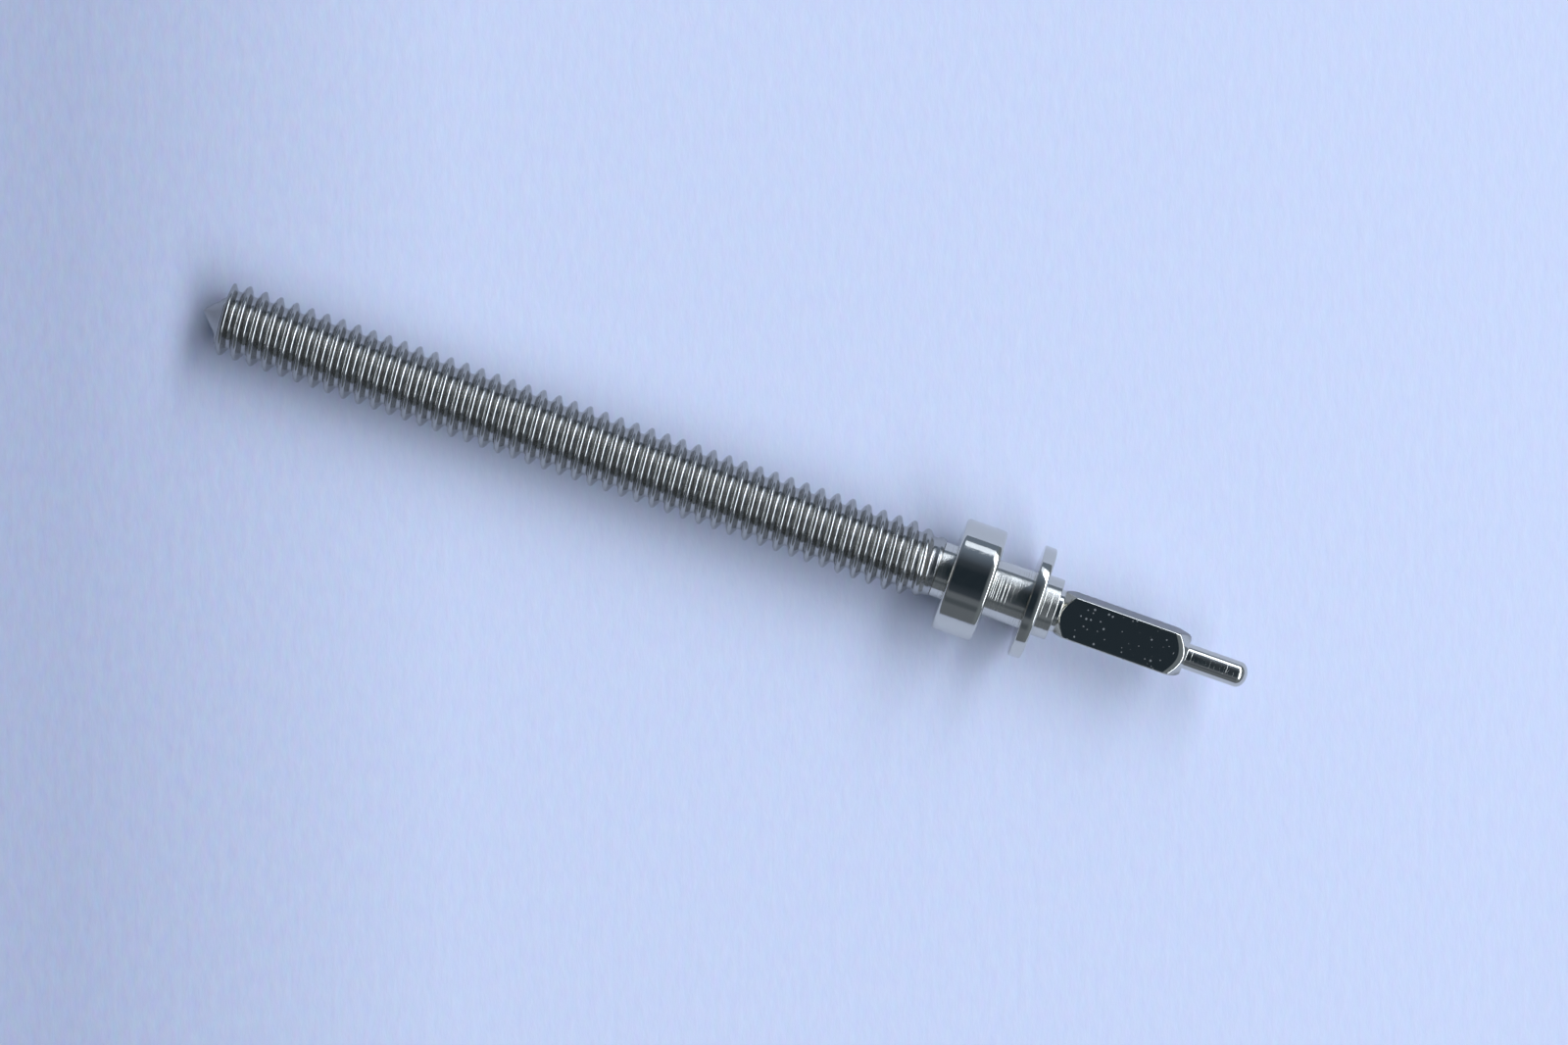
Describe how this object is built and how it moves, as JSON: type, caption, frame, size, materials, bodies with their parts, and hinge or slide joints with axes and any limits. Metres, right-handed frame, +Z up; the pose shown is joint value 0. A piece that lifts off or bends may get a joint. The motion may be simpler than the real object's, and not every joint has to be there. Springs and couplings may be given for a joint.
{
  "type": "watch stem",
  "caption": "Slim steel shaft with a long fine thread, a bearing collar, a setting-lever groove, a square and a thin pilot.",
  "frame": {"origin": "middle of the bearing collar, on the stem's axis", "axes": "+X along the axis from the crown's end to the pilot, +Z up as the stem lies in the picture, +Y square to both"},
  "size_m": [0.0135, 0.0014, 0.0014],
  "materials": {
    "thread_steel": "cut thread, bright",
    "turned_steel": "polished and finely turned",
    "milled_steel": "milled flats, polished"
  },
  "bodies": {
    "root": {"point_cone": "thread_steel", "crown_thread": "thread_steel", "thread_relief": "turned_steel", "bearing_collar": "turned_steel", "setting_lever_groove": "turned_steel", "lever_flange": "turned_steel", "pinion_neck": "turned_steel", "square_undercut": "turned_steel", "clutch_square": "milled_steel", "pilot_pin": "turned_steel"}
  },
  "joints": []
}
